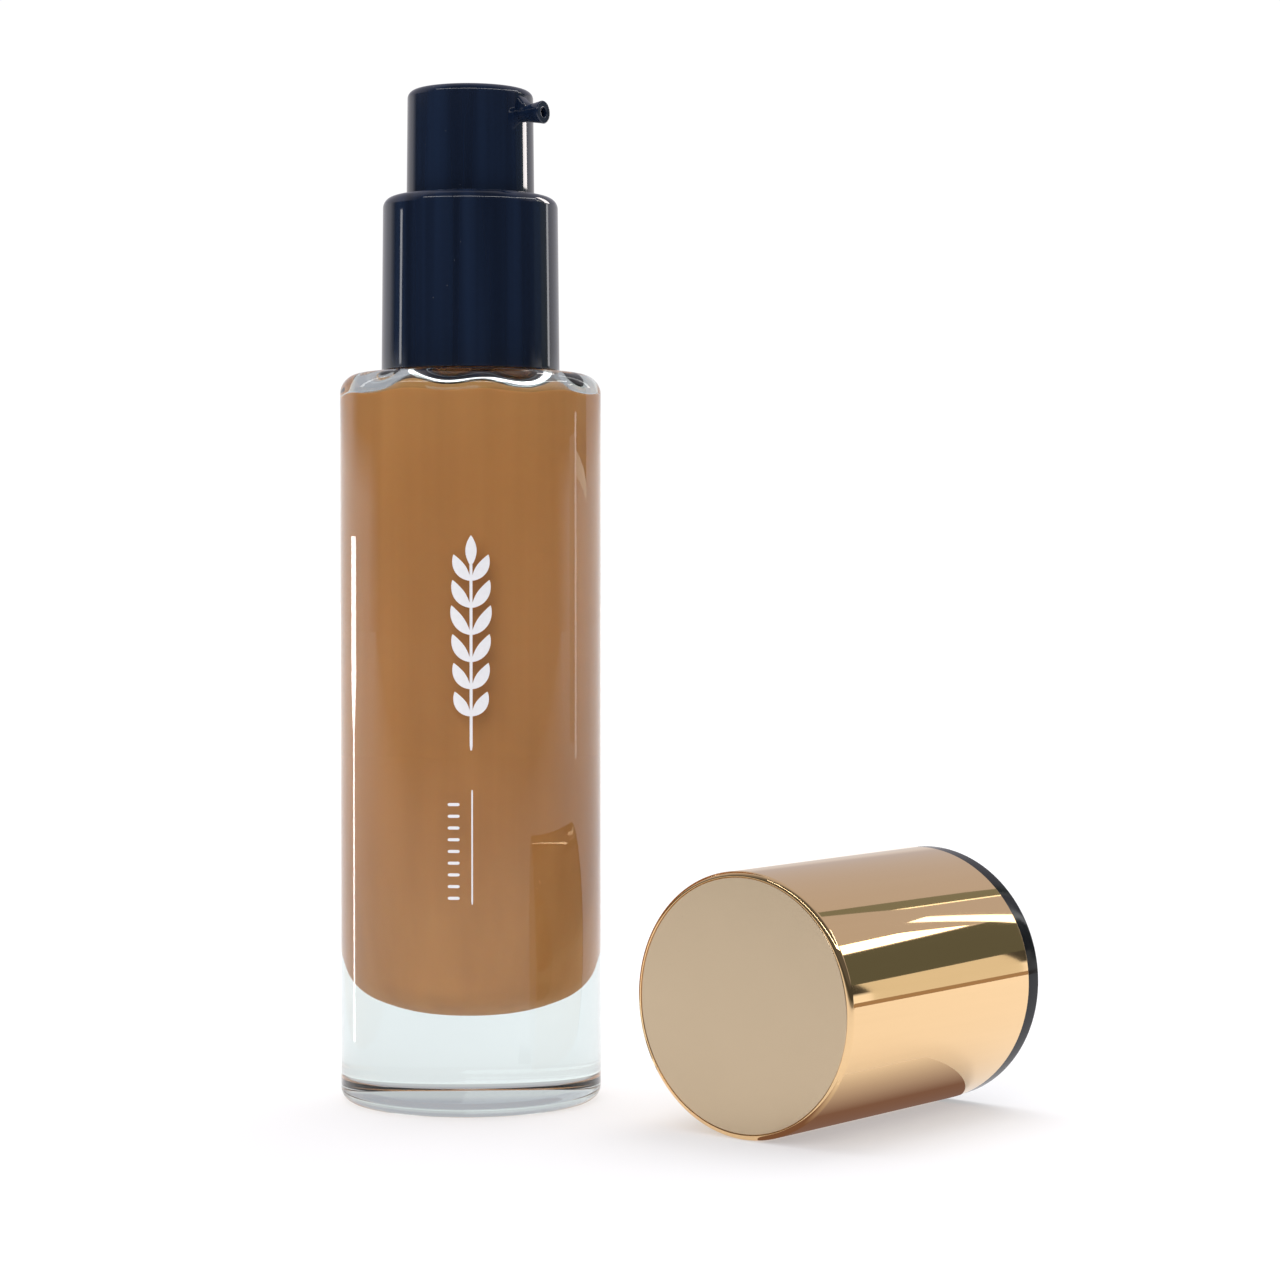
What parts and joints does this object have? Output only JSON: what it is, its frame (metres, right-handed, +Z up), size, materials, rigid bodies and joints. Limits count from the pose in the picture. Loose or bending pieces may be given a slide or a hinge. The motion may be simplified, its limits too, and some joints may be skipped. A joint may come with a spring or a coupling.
{
  "type": "foundation bottle",
  "caption": "Clear thick-based glass bottle of liquid foundation with a press pump, and its metal-sleeved overcap lying beside it.",
  "frame": {"origin": "on the bottle's axis, at the plane of the ring that the bottle stands on", "axes": "+Z up the bottle's axis; +X from the bottle towards the lying overcap; +Y along the overcap from its closed end to its mouth"},
  "size_m": [0.0706, 0.0493, 0.1162],
  "materials": {
    "clear_glass": "clear, polished",
    "foundation_liquid": "opaque liquid",
    "gasket_foam": "soft",
    "natural_plastic": "natural",
    "spring_steel": "drawn wire",
    "ball_steel": "polished",
    "closure_plastic": "plain",
    "black_gloss": "glossy blue-black",
    "seal_plastic": "soft plastic",
    "gold_metal": "mirror-bright gold anodised",
    "black_liner": "black"
  },
  "bodies": {
    "bottle": {"glass_bottle": "clear_glass", "foundation_fill": "foundation_liquid"},
    "pump": {"pump_housing": "natural_plastic", "retaining_turret": "natural_plastic", "neck_gasket": "gasket_foam", "dip_tube": "natural_plastic", "return_spring": "spring_steel"},
    "closure": {"screw_closure": "closure_plastic", "collar_sleeve": "black_gloss"},
    "plunger": {"pump_stem": "natural_plastic", "piston_rod": "natural_plastic", "piston_seal": "seal_plastic"},
    "button": {"button_shell": "black_gloss", "button_core": "closure_plastic", "nozzle_tube": "black_gloss"},
    "inlet_valve": {"inlet_ball": "ball_steel"},
    "overcap": {"overcap_shell": "gold_metal", "overcap_liner": "black_liner"}
  },
  "joints": [
    {"name": "pump_lift", "type": "slide", "parent": "bottle", "child": "pump", "axis": [0, 0, 1], "range_m": [0, 0.00617]},
    {"name": "closure_turn", "type": "hinge", "parent": "pump", "child": "closure", "pos_m": [0, 0, 0.09], "axis": [0, 0, 1], "range_deg": [0, 700]},
    {"name": "pump_press", "type": "slide", "parent": "pump", "child": "plunger", "axis": [0, 0, 1], "range_m": [-0.0055, 0], "stiffness_N_per_m": 500, "springref_m": 0.004, "deforming": ["return_spring"]},
    {"name": "button_turn", "type": "hinge", "parent": "plunger", "child": "button", "pos_m": [0, 0, 0.108], "axis": [0, 0, 1], "continuous": true},
    {"name": "inlet_ball_lift", "type": "slide", "parent": "pump", "child": "inlet_valve", "axis": [0, 0, 1], "range_m": [0, 0.0012]},
    {"name": "overcap_tip", "type": "hinge", "parent": "bottle", "child": "overcap", "pos_m": [0.04106, 0.0343, 0], "axis": [-1, 0, 0], "range_deg": [0, 89.69]}
  ],
  "couplings": [
    {"joint": "closure_turn", "follows": "pump_lift", "rad_per_m": 1979}
  ]
}
